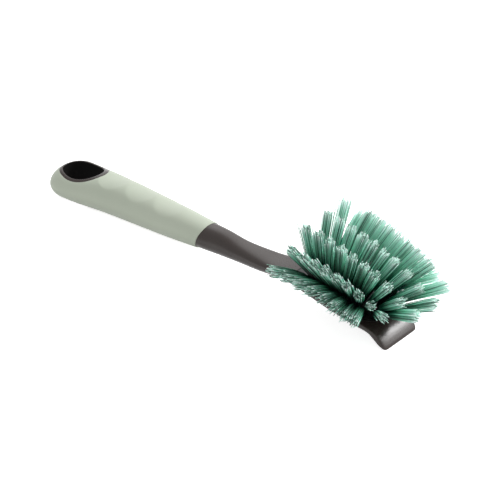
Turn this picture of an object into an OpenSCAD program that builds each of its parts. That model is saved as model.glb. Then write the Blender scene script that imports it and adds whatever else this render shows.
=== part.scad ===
// Dish brush with a soft grip, a snap-in bristle block and a scraper lip.
// It lies on its back, bristles up: +X runs from the hanging hole to the lip,
// +Y is across the handle and +Z is up. Millimetres.

/* [Handle] */
// Length from the tail to the edge of the scraper lip
body_len = 270; // [255:1:290]
// Length of the soft grip along the middle of the handle
grip_len = 126; // [110:1:140]
// Width of the grip at the hanging hole
tail_w = 35.6; // [33:0.2:38]
// Height of the grip at the hanging hole
tail_h = 20.8; // [19:0.2:23]
// Height of the grip where the palm closes round it
palm_h = 22.8; // [21:0.2:25]
// Width of the grip where the palm closes round it
palm_w = 29; // [27:0.2:31]
// Width of the grip at its front edge
grip_front_w = 20.4; // [19:0.2:22]
// Height of the grip at its front edge
grip_front_h = 16.8; // [15.6:0.2:18]
// Radius of the rounded tail
nose_r = 16; // [13:0.5:18]
// Thickness of the soft skin over the core
skin_t = 1.8; // [1.2:0.1:2.4]
// Step from the soft skin down to the bare neck
neck_step = 0.5; // [0.2:0.1:0.9]
// Lean of the grip's front edge, forward at the top
front_lean = 17; // [0:1:25]
// Height of the grip's underside over the table at its front edge
front_lift = 3.6; // [3:0.1:4.2]

/* [Thumb dishes] */
// Number of dished thumb rests along the top of the grip
dish_count = 3; // [1:1:4]
// Distance from the tail to the first dish
dish_first = 50; // [46:1:56]
// Spacing of the dishes
dish_pitch = 23.5; // [20:0.5:26]
// Length of one dish
dish_len = 20; // [16:0.5:22]
// Width of one dish
dish_w = 19; // [14:0.5:22]
// Depth of one dish
dish_depth = 1; // [0.4:0.1:1.2]

/* [Hanging hole] */
// Distance from the tail to the middle of the hole
hole_at = 22.4; // [21:0.2:24]
// Length of the hole
hole_len = 29.6; // [26:0.2:31]
// Width of the hole
hole_w = 21.6; // [18:0.2:23]
// Thickness of the hard lining round the hole
lining_t = 2.2; // [1.6:0.1:2.8]
// How many times thicker the lining is on the side of the neck
lining_lead = 1.6; // [1:0.1:2]

/* [Neck] */
// Width of the neck at its narrowest place
neck_w = 16; // [14:0.2:18]
// Height of the neck at its narrowest place
neck_h = 11.8; // [10.6:0.2:13]
// Height of the neck's underside over the table, at its narrowest place
neck_lift = 5.6; // [4.6:0.1:6.6]

/* [Head] */
// Width of the head at its widest place
head_w = 29.4; // [28:0.2:31]
// Width of the scraper lip
lip_w = 30.2; // [28:0.2:32]
// Radius of the lip's two corners
lip_corner_r = 2.4; // [1:0.1:4]
// Thickness of the scraper lip at its edge
lip_edge_t = 1; // [0.8:0.1:1.6]
// Height of the bristle block's top face at its middle
block_top = 13.6; // [13:0.1:14.4]
// Slope of the bristle block's top face, down towards the lip
head_pitch = 5.6; // [4:0.1:7]
// Thickness of the head with the block in its pocket
head_t = 7.2; // [7:0.1:8]
// Thickness of the bristle block
block_t = 4.2; // [3.9:0.1:4.5]
// Length of the bristle block
block_len = 62; // [60:0.5:63]
// Width of the bristle block at its middle
block_w = 24; // [23.6:0.2:24.6]
// Distance from the lip's edge back to the middle of the block
block_back = 42; // [41:0.5:43]
// Gap all round the block in its pocket
block_gap = 0.2; // [0.1:0.05:0.3]
// Diameter of the four press pegs under the block
peg_d = 3; // [2.4:0.1:3.4]
// Length of the press pegs
peg_len = 1.2; // [0.8:0.1:1.3]
// Gap round each press peg in its socket
peg_gap = 0.06; // [0.03:0.01:0.1]

/* [Bristles] */
// Tufts in each of the two middle rows
tufts_mid = 10; // [8:1:10]
// Distance between the tufts of a row
tuft_pitch = 5.2; // [5:0.1:5.4]
// Distance between rows at the neck end
row_pitch_back = 3.3; // [3.1:0.05:3.5]
// Distance between rows at the lip end
row_pitch_front = 3.7; // [3.4:0.05:3.8]
// Diameter of a tuft where it sits in the block
tuft_d = 2.5; // [2.2:0.1:2.6]
// Depth of a tuft in the block
tuft_depth = 1.8; // [1.2:0.1:2]
// Length of the tufts of the middle rows at the neck end
tuft_len_mid = 39.8; // [36:0.2:44]
// Length of the tufts of the rows next to them
tuft_len_next = 45.6; // [40:0.2:48]
// Length of the tufts of the outer rows
tuft_len_outer = 42.4; // [36:0.2:46]
// How much shorter the tufts are at the lip end
tuft_len_loss = 7.6; // [4:0.2:10]
// Width of a tuft's spread at its cut tips
tuft_spread = 5.2; // [4:0.1:5.4]
// Thickness of one strand at the root
strand_root_d = 0.6; // [0.4:0.05:0.7]
// Thickness of one strand at the tip
strand_tip_d = 1.5; // [0.8:0.1:1.6]
// Sideways splay of the middle rows
splay_mid = 13.2; // [8:0.2:15]
// Sideways splay of the rows next to them
splay_next = 39.2; // [34:0.2:42]
// Sideways splay of the outer rows
splay_outer = 57.4; // [52:0.2:60]
// Height of the anchor wire that pins a tuft into the block
anchor_h = 1.4; // [1:0.1:1.6]
// Thickness of the anchor wire
anchor_t = 0.35; // [0.25:0.05:0.5]

/* [Hidden] */
// Smoothness of round bores and pegs
$fn = 48;
// Running gap that keeps two touching surfaces of different pieces apart
seat_gap = 0.02;
// Depth to which the rounded underside is cut flat where the brush lies on it
foot_flat = 0.25;
// How far a cutting shape reaches past what it cuts
cut_past = 5;
function turns(n) = [for (k = [0:n - 1]) 360 * k / n];

// Rows are counted outwards from the middle on each side
row_count = 3;
splay = [splay_mid, splay_next, splay_outer];
tufts_in_row = [tufts_mid, tufts_mid - 1, tufts_mid - 2];
// Rows start at different distances, so that the tufts stand in gaps of each other
row_start = [-18.1, -14.6, -15];
// Strands of one tuft: one in the middle and six round it
ring_strands = 6;
strand_sides = 3;
// Radius of the ring of strands at the root and at the tip
root_margin = 0.2;
ring_root_r = tuft_d / 2 - strand_root_d / 2 - root_margin;
ring_tip_r = (tuft_spread - strand_tip_d) / 2;
// Height over the block at which the strands of each row have bent over to their own direction
knee_h = [2.1, 4.5, 4.5];
// Depth to which a strand runs into the root of its tuft
strand_sink = 0.6;

// Lean of a tuft towards the lip: each row fans out in even steps, and its last tufts lean further
lean_back = [-1.6, 3.3, -10.8];
lean_step = [5.3, 4.7, 9.5];
lean_extra = [3.7, 2.2, 0.2];
lean_extra_tufts = 4;
lean_extra_power = 1.6;
function lean(row, i) =
    let (last = max(0, i - tufts_in_row[row] + lean_extra_tufts))
    lean_back[row] + lean_step[row] * i + lean_extra[row] * pow(last, lean_extra_power);

// A direction leaning by a towards +X and splayed by b towards +Y
function turn_x(p, b) = [p.x, p.y * cos(b) + p.z * sin(b), p.z * cos(b) - p.y * sin(b)];
function turn_y(p, a) = [p.x * cos(a) + p.z * sin(a), p.y, p.z * cos(a) - p.x * sin(a)];
function aim(p, a, b) = turn_y(turn_x(p, b), a);

// Length of a tuft for its row and its number in the row
tuft_len_back = [tuft_len_mid, tuft_len_next, tuft_len_outer];
function tuft_len(row, i) = tuft_len_back[row] - tuft_len_loss * i / (tufts_mid - 1);

// Place of a tuft on the block's top face, from the block's middle
function tuft_x(row, i) = row_start[row] + tuft_pitch * i;
function row_pitch(x) = row_pitch_back
    + (row_pitch_front - row_pitch_back) * (x / block_len + 0.5);
function tuft_y(row, i) = (row + 0.5) * row_pitch(tuft_x(row, i));
// One triangle of a strand, r wide, standing off the tuft's middle by off at angle phi
function strand_cut(off, phi, r) = [
    for (k = [0:strand_sides - 1])
        let (a = phi - 360 * k / strand_sides)
        [off * cos(phi) + r * cos(a), off * sin(phi) + r * sin(a), 0]
];
// The cut tip of a strand, from the block's middle
function strand_tip(row, i, off, phi) = [
    for (p = strand_cut(off, phi, strand_tip_d / 2))
        [tuft_x(row, i), tuft_y(row, i), knee_h[row]]
            + aim(p + [0, 0, tuft_len(row, i) - knee_h[row]], lean(row, i) - head_pitch, splay[row])
];

// Distance from the tail to the middle of the block
head_u = body_len - block_back;
// The fan of bristles reaches past the lip, and the model is centred on its whole length
function reach(row, i) = max([
    for (phi = turns(ring_strands), p = strand_tip(row, i, ring_tip_r, phi))
        head_u + turn_y(p, head_pitch).x
]);
whole_len = max(body_len, max([
    for (row = [0:row_count - 1], i = [tufts_in_row[row] - lean_extra_tufts:tufts_in_row[row] - 1])
        reach(row, i)
]));
tail_x = -whole_len / 2;

// Smooth value at u of column c in a list of stations [u, value, value, ...]
function slope(s, k, c) = k == 0 || k == len(s) - 1 ? 0
    : (s[k + 1][c] - s[k - 1][c]) / (s[k + 1][0] - s[k - 1][0]);
function find(s, u, k = 0) = k >= len(s) - 2 || u <= s[k + 1][0] ? k : find(s, u, k + 1);
function ease(s, k, c, u) =
    let (
        d = s[k + 1][0] - s[k][0],
        t = min(1, max(0, (u - s[k][0]) / d)),
        a = s[k][c],
        b = s[k + 1][c],
        ma = slope(s, k, c) * d,
        mb = slope(s, k + 1, c) * d
    )
    a * (2 * t * t * t - 3 * t * t + 1) + ma * (t * t * t - 2 * t * t + t)
    + b * (3 * t * t - 2 * t * t * t) + mb * (t * t * t - t * t);
function at(s, c, u) = ease(s, find(s, u), c, u);

// Grip outside: distance from the tail, half width, top, bottom
palm_u = grip_len * 0.4;
grip = [
    [0, tail_w / 2 - 0.2, tail_h - 0.2, -foot_flat],
    [nose_r * 1.5, tail_w / 2, tail_h, -foot_flat],
    [palm_u, palm_w / 2, palm_h + 0.2, 0.1],
    [grip_len * 0.78, palm_w / 4 + grip_front_w / 4 - 0.4, palm_h - 0.8, 1.8],
    [grip_len, grip_front_w / 2, grip_front_h + front_lift, front_lift],
    [grip_len + 12, grip_front_w / 2 - 0.9, grip_front_h + front_lift - 0.6, front_lift + 0.8]
];
nose_z = tail_h * 0.39;
// Rounding of the tail, 0 at the very end and 1 past the nose
function nose(u) = u >= nose_r ? 1 : sqrt(max(0, 1 - pow((nose_r - u) / nose_r, 2)));

// Depth of the thumb dishes at a place of the grip's top: a power below 1 gives them a crisp edge
dish_power = 0.8;
function dish_at(u, y, k = 0) = k >= dish_count ? 0
    : dish_depth * pow(max(0, 1 - pow((u - dish_first - k * dish_pitch) * 2 / dish_len, 2)
        - pow(y * 2 / dish_w, 2)), dish_power) + dish_at(u, y, k + 1);

// One cross-section point of the grip, drawn in by an inset
function grip_point(u, a, inset) =
    let (
        f = nose(u),
        w = (at(grip, 1, u)) * f - inset,
        top = nose_z + (at(grip, 2, u) - nose_z) * f - inset,
        bottom = nose_z + (at(grip, 3, u) - nose_z) * f + inset,
        y = w * cos(a),
        z = (top + bottom) / 2 + (top - bottom) / 2 * sin(a)
    )
    [tail_x + u, y, max(0, z - (inset == 0 && sin(a) > 0 ? dish_at(u, y) : 0))];

// Neck, head and lip: distance from the tail, half width, top, bottom,
// level of the widest place, squareness above it, squareness below it.
// The last station stands past the lip's edge and only sets the slope there.
tan_pitch = tan(head_pitch);
function deck(u) = block_top - (u - head_u) * tan_pitch;
// The neck is narrowest a little past the grip, and the head begins behind the block
neck_run = 28;
head_run = 36;
neck_u = grip_len + neck_run;
head_start = head_u - head_run;
head_flare = head_u - head_run / 2;
neck_top = neck_lift + neck_h;
edge_w = grip_front_w / 2 - neck_step;
edge_top = grip_front_h + front_lift - neck_step;
edge_bottom = front_lift + neck_step;
core = [
    [grip_len - neck_run / 2, edge_w + 0.2, edge_top + 0.3, edge_bottom - 0.6, 0.5, 2, 2],
    [grip_len, edge_w, edge_top, edge_bottom, 0.5, 2, 2],
    [grip_len + neck_run / 2 - 1, neck_w / 2 + 0.5, neck_top + 2.2, neck_lift - 1.1, 0.52, 2.1, 2],
    [neck_u, neck_w / 2, neck_top, neck_lift, 0.56, 2.3, 2.1],
    [neck_u + 20, neck_w / 2 + 1.1, neck_top - 0.6, neck_lift + 1.6, 0.62, 2.6, 2.1],
    [head_start, neck_w / 2 + 2.3, deck(head_start), deck(head_start) - head_t, 0.7, 3, 2.1],
    [head_flare, head_w / 2 - 2.7, deck(head_flare), deck(head_flare) - head_t, 0.76, 4.5, 2.2],
    [head_u + 2, head_w / 2 - 0.6, deck(head_u + 2), deck(head_u + 2) - head_t, 0.76, 5, 2.4],
    [head_u + 20, head_w / 2, deck(head_u + 20), deck(head_u + 20) - head_t, 0.74, 5, 2.6],
    [body_len - 12.5, head_w / 2 + 0.2, deck(body_len - 12.5) - 0.4, 4.4, 0.66, 5, 3],
    [body_len - 8.5, lip_w / 2, deck(body_len - 8.5) - 1.3, 2.6, 0.6, 6, 3.5],
    [body_len - 4.5, lip_w / 2 + 0.1, 6.1, 0.6, 0.55, 6, 4],
    [body_len, lip_w / 2 - 0.2, lip_edge_t, -foot_flat / 2, 0.5, 4, 4],
    [body_len + 2, lip_w / 2 - 0.4, lip_edge_t - 3.2, 0.6, 0.5, 4, 4]
];
// The lip's two corners are rounded in plan
function corner(u) =
    let (d = max(0, u - body_len + lip_corner_r))
    lip_corner_r - sqrt(max(0, lip_corner_r * lip_corner_r - d * d));
// Rounded power curve for a section's quarter
function quarter(t, n) = pow(abs(t), 2 / n) * sign(t);
function core_point(u, a) =
    let (
        w = at(core, 1, u) - corner(u),
        top = at(core, 2, u),
        bottom = at(core, 3, u),
        z = bottom + (top - bottom) * at(core, 4, u),
        n = sin(a) > 0 ? at(core, 5, u) : at(core, 6, u),
        h = sin(a) > 0 ? top - z : z - bottom
    )
    [tail_x + u, w * quarter(cos(a), n), max(0, z + h * quarter(sin(a), n))];

// A closed skin over rings that all have the same number of points
module skin_over(rings) {
    n = len(rings[0]);
    m = len(rings);
    sides = [
        for (j = [0:m - 2], k = [0:n - 1], half = [0, 1])
            let (
                a = j * n + k,
                b = j * n + (k + 1) % n,
                c = a + n,
                d = b + n
            )
            half == 0 ? [a, b, d] : [a, d, c]
    ];
    start = [for (k = [1:n - 2]) [0, k + 1, k]];
    finish = [for (k = [1:n - 2]) [(m - 1) * n, (m - 1) * n + k, (m - 1) * n + k + 1]];
    polyhedron(points = [for (r = rings) each r], faces = concat(sides, start, finish));
}

// Oval outline of the hanging hole, grown by a margin
function oval(t, grow) = [
    tail_x + hole_at + (hole_len / 2 + grow * (cos(t) > 0 ? lining_lead : 1)) * cos(t),
    (hole_w / 2 + grow) * sin(t)
];
hole_sides = 48;
module hole_prism(grow) {
    translate([0, 0, -cut_past])
        linear_extrude(tail_h + 2 * cut_past)
            polygon([for (t = turns(hole_sides)) oval(t, grow)]);
}

// The joint face inside the grip is a plainer shape than the outside
grip_sides = 32;
bond_sides = 20;
lining_step = 6;
skin_step = 4.4;
bond_step = 9;
// Rings crowd together in the rounded nose
nose_rings = 7;
function nose_u(k, inset) = inset + (nose_r - inset) * (1 - cos(90 * (k + 0.35) / nose_rings));
module grip_shape(inset, end_u, step, n) {
    us = concat(
        [for (k = [0:nose_rings - 1]) nose_u(k, inset)],
        [for (u = [nose_r:step:end_u]) u],
        [end_u + step / 2]
    );
    skin_over([for (u = us) [for (a = turns(n)) grip_point(u, -a, inset)]]);
}

// Everything in front of the grip's leaning front edge
module ahead() {
    translate([tail_x + grip_len, 0, grip_front_h / 2 + front_lift])
        rotate([0, front_lean, 0])
            translate([0, -body_len, -body_len])
                cube(2 * body_len);
}

// The block's pocket and pegs are set out in the slope of the head
module on_head() {
    translate([tail_x + head_u, 0, block_top])
        rotate([0, head_pitch, 0])
            children();
}
block_n = 2.9;
block_taper = 0.075;
function block_edge(t, grow) =
    let (x = (block_len / 2 + grow) * quarter(cos(t), block_n))
    [x, (block_w / 2 + block_taper * x + grow) * quarter(sin(t), block_n)];
block_sides = 60;
module block_outline(grow) {
    polygon([for (t = turns(block_sides)) block_edge(t + 180 / block_sides, grow)]);
}
peg_x = block_len * 0.36;
peg_y = block_w * 0.2;
module at_pegs() {
    for (sx = [-1, 1], sy = [-1, 1])
        translate([sx * peg_x, sy * peg_y, 0])
            children();
}
peg_seat = 0.3;

module handle_core() {
    color("#575352")
        resize([0, 0, 0])
            difference() {
                union() {
                    intersection() {
                        grip_shape(0, grip_len, lining_step, grip_sides);
                        hole_prism(lining_t);
                    }
                    grip_shape(skin_t, grip_len - 2, bond_step, bond_sides);
                    intersection() {
                        neck_and_head();
                        ahead();
                    }
                }
                hole_prism(0);
                on_head() {
                    translate([0, 0, -block_t])
                        linear_extrude(block_t + cut_past)
                            block_outline(block_gap);
                    at_pegs()
                        translate([0, 0, -block_t - peg_len - peg_seat])
                            cylinder(d = peg_d + 2 * peg_gap, h = peg_len + 1, $fn = 24);
                }
            }
}

// Rings stand closer together where the head drops to the lip
core_sides = 32;
ring_step = 5;
lip_step = 1.75;
lip_run = 14;
lip_edge_rings = [0.9, 0.25, 0];
module neck_and_head() {
    us = concat(
        [for (u = [grip_len - 2 * ring_step:ring_step:head_start - 1]) u],
        [for (u = [head_start + 2:ring_step:head_u + head_run * 2 / 3]) u],
        [for (u = [body_len - lip_run:lip_step:body_len - 2]) u],
        [for (d = lip_edge_rings) body_len - d]
    );
    skin_over([for (u = us) [for (a = turns(core_sides)) core_point(u, -a)]]);
}

module grip_sleeve() {
    color("#a8b0a0")
        resize([0, 0, 0])
            difference() {
                grip_shape(0, grip_len + 8, skin_step, grip_sides);
                ahead();
                grip_shape(skin_t, grip_len + 10, bond_step, bond_sides);
                hole_prism(lining_t);
            }
}

module at_tufts() {
    for (row = [0:row_count - 1], side = [-1, 1], i = [0:tufts_in_row[row] - 1])
        translate([tuft_x(row, i), side * tuft_y(row, i), 0])
            children();
}

// The tuft holes are eight-sided, and the smallest in which a tuft clears the flats
tuft_hole_sides = 8;
tuft_hole_d = (tuft_d + 2 * seat_gap) / cos(180 / tuft_hole_sides);
module bristle_block() {
    color("#3b3837")
        on_head()
            difference() {
                union() {
                    translate([0, 0, -block_t + seat_gap])
                        linear_extrude(block_t - seat_gap)
                            block_outline(0);
                    at_pegs()
                        translate([0, 0, -block_t - peg_len])
                            cylinder(d = peg_d, h = peg_len + 1);
                }
                at_tufts()
                    translate([0, 0, -tuft_depth - anchor_h])
                        rotate(180 / tuft_hole_sides)
                            cylinder(d = tuft_hole_d, h = block_t, $fn = tuft_hole_sides);
            }
}

anchor_len = tuft_d - 0.4;
module anchor_wires() {
    color("#b9a36b")
        on_head()
            at_tufts()
                translate([-anchor_len / 2, -anchor_t / 2, -tuft_depth - anchor_h])
                    cube([anchor_len, anchor_t, anchor_h]);
}

// A strand stands up from the root to its knee and runs straight from there to its cut tip
module strand(row, i, off_root, off_tip, phi) {
    root = [tuft_x(row, i), tuft_y(row, i), 0];
    cut = strand_cut(off_root, phi, strand_root_d / 2);
    skin_over([
        [for (p = cut) root + p - [0, 0, strand_sink]],
        [for (p = cut) root + p + [0, 0, knee_h[row]]],
        strand_tip(row, i, off_tip, phi)
    ]);
}

// The rows on the near side are the far ones mirrored
module on_side(side) {
    if (side > 0)
        children();
    else
        mirror([0, 1, 0])
            children();
}
module tuft(row, side, i) {
    color("#6fae95")
        resize([0, 0, 0])
            on_head()
                on_side(side) {
                    translate([tuft_x(row, i), tuft_y(row, i), -tuft_depth])
                        cylinder(d = tuft_d, h = tuft_depth, $fn = ring_strands);
                    strand(row, i, 0, 0, 0);
                    for (phi = turns(ring_strands))
                        strand(row, i, ring_root_r, ring_tip_r, phi);
                }
}

// Tufts are named by row, lettered across the head, and numbered from the neck end
row_names = ["c", "b", "a", "d", "e", "f"];
function tuft_name(row, side, i) = str("tuft_", row_names[(side < 0 ? 0 : 3) + row], i + 1);
TUFTS = [
    for (side = [-1, 1], row = [0:row_count - 1], i = [0:tufts_in_row[row] - 1])
        [tuft_name(row, side, i), row, side, i]
];

handle_core();
grip_sleeve();
bristle_block();
anchor_wires();
for (t = TUFTS)
    tuft(t[1], t[2], t[3]);
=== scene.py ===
"""Dish brush on its back: a soft grip on a hard core, a fan of bristle tufts in a block, and a lip."""

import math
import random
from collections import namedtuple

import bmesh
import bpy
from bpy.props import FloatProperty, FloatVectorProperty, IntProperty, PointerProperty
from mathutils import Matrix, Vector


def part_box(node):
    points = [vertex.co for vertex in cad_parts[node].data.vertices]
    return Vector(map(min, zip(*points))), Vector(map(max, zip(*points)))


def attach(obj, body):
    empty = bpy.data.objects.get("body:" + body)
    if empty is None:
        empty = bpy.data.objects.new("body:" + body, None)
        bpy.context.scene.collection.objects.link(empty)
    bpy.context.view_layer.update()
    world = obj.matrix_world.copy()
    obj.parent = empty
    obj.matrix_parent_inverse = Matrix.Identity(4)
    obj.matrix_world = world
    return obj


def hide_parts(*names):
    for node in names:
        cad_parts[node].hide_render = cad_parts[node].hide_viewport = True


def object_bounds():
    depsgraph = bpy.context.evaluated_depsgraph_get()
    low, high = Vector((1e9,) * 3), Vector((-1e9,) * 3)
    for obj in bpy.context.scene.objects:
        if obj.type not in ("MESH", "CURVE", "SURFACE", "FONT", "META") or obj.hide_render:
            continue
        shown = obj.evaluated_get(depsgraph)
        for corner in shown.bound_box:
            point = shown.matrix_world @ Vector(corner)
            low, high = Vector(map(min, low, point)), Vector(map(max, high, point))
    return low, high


bl_info = {
    "name": "Dish Brush",
    "version": (1, 0, 0),
    "blender": (4, 5, 0),
    "location": "View3D > Sidebar > Dish Brush",
    "description": "Dresses a dish brush with its grip, core, bristles and a small studio",
    "category": "Object",
}

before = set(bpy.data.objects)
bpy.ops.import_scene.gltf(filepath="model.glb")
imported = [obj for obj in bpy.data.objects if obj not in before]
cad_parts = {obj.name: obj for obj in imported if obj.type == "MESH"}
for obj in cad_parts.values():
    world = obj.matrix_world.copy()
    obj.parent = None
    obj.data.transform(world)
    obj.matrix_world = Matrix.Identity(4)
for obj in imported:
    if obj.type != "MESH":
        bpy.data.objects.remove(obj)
CAD_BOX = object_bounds()

# Sizes are in millimetres and u is the distance from the tail; meshes and settings are in metres.
MM = 0.001
BODY_LEN = 270.0
TAIL_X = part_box("handle_core")[1].x / MM - BODY_LEN
# Depth to which the rounded underside is cut flat where the brush lies on it
FOOT_FLAT = 0.25

# Bodies, and the start of every tuft's name
HANDLE = "handle"
BRISTLE_HEAD = "bristle_head"
TUFT = "tuft_"

# A station of a long body: its half width, top and bottom, the share of its height at which it is
# widest, and how square it is above and below that, where 2 is round
Station = namedtuple("Station", "u half_w top bottom level upper lower", defaults=(0.5, 2.0, 2.0))

# Grip
GRIP_LEN = 126.0
FRONT_W = 20.4
FRONT_H = 16.8
FRONT_LIFT = 3.6
FRONT_TOP = FRONT_H + FRONT_LIFT
FRONT_MID_Z = FRONT_H / 2 + FRONT_LIFT
FRONT_LEAN = math.tan(math.radians(17.0))
# Length over which the rings turn upright again, before and after the leaning front edge
LEAN_FADE = 45.0
# Passes in which the points of a leaning ring settle on the surface
LEAN_PASSES = 4
NOSE_R = 16.0
NOSE_Z = 20.8 * 0.39
SKIN_T = 1.8
GRIP = (
    Station(0.0, 17.6, 20.6, -FOOT_FLAT),
    Station(24.0, 17.8, 20.8, -FOOT_FLAT),
    Station(50.4, 14.5, 23.0, 0.1),
    Station(98.28, 11.95, 22.0, 1.8),
    Station(GRIP_LEN, FRONT_W / 2, FRONT_TOP, FRONT_LIFT),
    Station(GRIP_LEN + 12.0, FRONT_W / 2 - 0.9, FRONT_TOP - 0.6, FRONT_LIFT + 0.8),
)

# Thumb dishes in the grip's top; a power below 1 gives them a crisp edge
DISHES = (50.0, 73.5, 97.0)
DISH_LEN = 20.0
DISH_W = 19.0
DISH_DEPTH = 1.0
DISH_POWER = 0.8

# Hanging hole and its lining, which is a little thicker towards the neck
HOLE_AT = 22.4
HOLE_LEN = 29.6
HOLE_W = 21.6
LINING_T = 2.2
LINING_LEAD = 1.6
LINING_OUTER_R = 0.2
# The hole's wall, whose faces get painted shade, begins where its rim has turned down: this close to the
# hole, and this steep
WALL_EDGE = 0.25
WALL_STEEP = 0.5

# Neck, head and lip
HEAD_U = BODY_LEN - 42.0
HEAD_TOP = 13.6
HEAD_PITCH = math.radians(5.6)
HEAD_T = 7.2
HEAD_W = 29.4
NECK_U = GRIP_LEN + 28.0
NECK_W = 16.0
NECK_H = 11.8
NECK_LIFT = 5.6
NECK_TOP = NECK_LIFT + NECK_H
# How far the neck lies below the grip's surface at its front edge
NECK_STEP = 0.5
LIP_W = 30.2
LIP_EDGE_T = 1.0
LIP_CORNER_R = 2.4
LIP_ROUND = 0.6
# How much of a full round the lip's end is, where 1 would leave it no flat face
LIP_DRAW = 0.8

# Bristle block, its pocket and its press pegs' sockets
BLOCK_T = 4.2
BLOCK_LEN = 62.0
BLOCK_W = 24.0
BLOCK_GAP = 0.2
BLOCK_POWER = 2.9
BLOCK_TAPER = 0.075
PEG_R = 1.56
PEG_DEPTH = 1.5
PEG_AHEAD = BLOCK_LEN * 0.36
PEG_ASIDE = BLOCK_W * 0.2
# Where the cutters of the sockets and of the pocket end, over the pocket's floor and over the head
SOCKET_CUT = 1.0
POCKET_CUT = 12.0

# A row of tufts: height over the block at which its filaments have bent over to their own direction,
# how uneven their tips are, how wide they have spread, and the least tone of a filament, from 0 to 1; the
# far rows' higher least tone is painted light from behind
Row = namedtuple("Row", "knee wear spread pale")
ROWS = {
    "a": Row(8.0, 1.4, 1.1, 0.0),
    "b": Row(5.0, 1.0, 0.95, 0.05),
    "c": Row(2.1, 1.0, 1.0, 0.1),
    "d": Row(2.1, 1.0, 1.0, 0.15),
    "e": Row(5.0, 1.3, 1.15, 0.3),
    "f": Row(8.0, 1.4, 1.2, 0.45),
}
TUFT_DEPTH = 1.8
# Depth below the block's face at which the filaments begin, in the tufts' holes
FOOT_DEPTH = 1.2
# A few tufts have been bent out of line in use: how far their tips have moved
BENT = {
    "tuft_e1": (-9.0, -2.0, 1.0),
    "tuft_a8": (0.0, -1.0, 3.0),
    "tuft_f8": (3.0, 0.0, -3.0),
    "tuft_e9": (3.0, 0.0, -5.0),
    "tuft_d10": (1.8, 2.4, 1.2),
    "tuft_c10": (1.3, 2.0, 1.0),
}
# Tufts that have spread more than the others of their row
SPLAYED = {"tuft_d10": 1.25, "tuft_c10": 1.25, "tuft_e9": 1.15, "tuft_f8": 1.15}

# Fineness of the meshes: points of half a ring, of the tail's side and of a quarter of its nose, and
# rows from the hole out to the tail's outline
RING_HALF = 40
SIDE_STEPS = 18
NOSE_STEPS = 16
PATCH_STEPS = 14
# Where the patches over and under the tail end and the rings begin
PATCH_U = 56.0
RING_GAP = 1.4
HIDDEN_RING_GAP = 3.0
CORE_SIDES = 96
OUTLINE_POINTS = 96
SOCKET_SIDES = 32
SMOOTH_ANGLE = math.radians(38.0)
# Points closer than this, in metres, are one
WELD = 2e-6

# Studio, in metres: the floor, what the lights face, and the place that the camera aims at
FLOOR_HALF = 3.0
FLOOR_DROP = 0.00002
MIDDLE = (0.0, 0.0, 0.02)
AIM = ((TAIL_X + BODY_LEN - 107.6) * MM, -2.8 * MM, 17.1 * MM)
Lamp = namedtuple("Lamp", "place aim width height power")
LAMPS = {
    "back_softbox": Lamp((-0.10, 0.87, 0.88), MIDDLE, 2.6, 0.9, "key_power"),
    "lip_light": Lamp((0.74, 0.94, 0.70), (0.13, 0.0, 0.0), 0.45, 0.25, "lip_power"),
    "front_fill": Lamp((0.2, -0.9, 0.6), MIDDLE, 0.8, 0.5, "fill_power"),
}


def deck(u):
    """Height of the head's sloping top face."""
    return HEAD_TOP - (u - HEAD_U) * math.tan(HEAD_PITCH)


def head_station(ahead, half_w, level, upper, lower):
    """A station of the flat part of the head, some way ahead of the block's middle."""
    u = HEAD_U + ahead
    return Station(u, half_w, deck(u), deck(u) - HEAD_T, level, upper, lower)


CORE = (
    Station(GRIP_LEN - 14, FRONT_W / 2 + 0.2 - NECK_STEP, FRONT_TOP + 0.3 - NECK_STEP,
            FRONT_LIFT - 0.6 + NECK_STEP),
    Station(GRIP_LEN, FRONT_W / 2 - NECK_STEP, FRONT_TOP - NECK_STEP, FRONT_LIFT + NECK_STEP),
    Station(GRIP_LEN + 13, NECK_W / 2 + 0.5, NECK_TOP + 2.2, NECK_LIFT - 1.1, 0.52, 2.1, 2.0),
    Station(NECK_U, NECK_W / 2, NECK_TOP, NECK_LIFT, 0.56, 2.3, 2.1),
    Station(NECK_U + 20, NECK_W / 2 + 1.1, NECK_TOP - 0.6, NECK_LIFT + 1.6, 0.62, 2.6, 2.1),
    head_station(-36, NECK_W / 2 + 2.3, 0.7, 3.0, 2.1),
    head_station(-18, HEAD_W / 2 - 2.7, 0.76, 4.5, 2.2),
    head_station(2, HEAD_W / 2 - 0.6, 0.76, 5.0, 2.4),
    head_station(20, HEAD_W / 2, 0.74, 5.0, 2.6),
    Station(BODY_LEN - 12.5, HEAD_W / 2 + 0.2, deck(BODY_LEN - 12.5) - 0.4, 4.4, 0.66, 5.0, 3.0),
    Station(BODY_LEN - 8.5, LIP_W / 2, deck(BODY_LEN - 8.5) - 1.3, 2.6, 0.6, 6.0, 3.5),
    Station(BODY_LEN - 4.5, LIP_W / 2 + 0.1, 6.1, 0.6, 0.55, 6.0, 4.0),
    Station(BODY_LEN, LIP_W / 2 - 0.2, LIP_EDGE_T, -FOOT_FLAT / 2, 0.5, 4.0, 4.0),
    Station(BODY_LEN + 2, LIP_W / 2 - 0.4, LIP_EDGE_T - 3.2, 0.6, 0.5, 4.0, 4.0),
)


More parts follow.
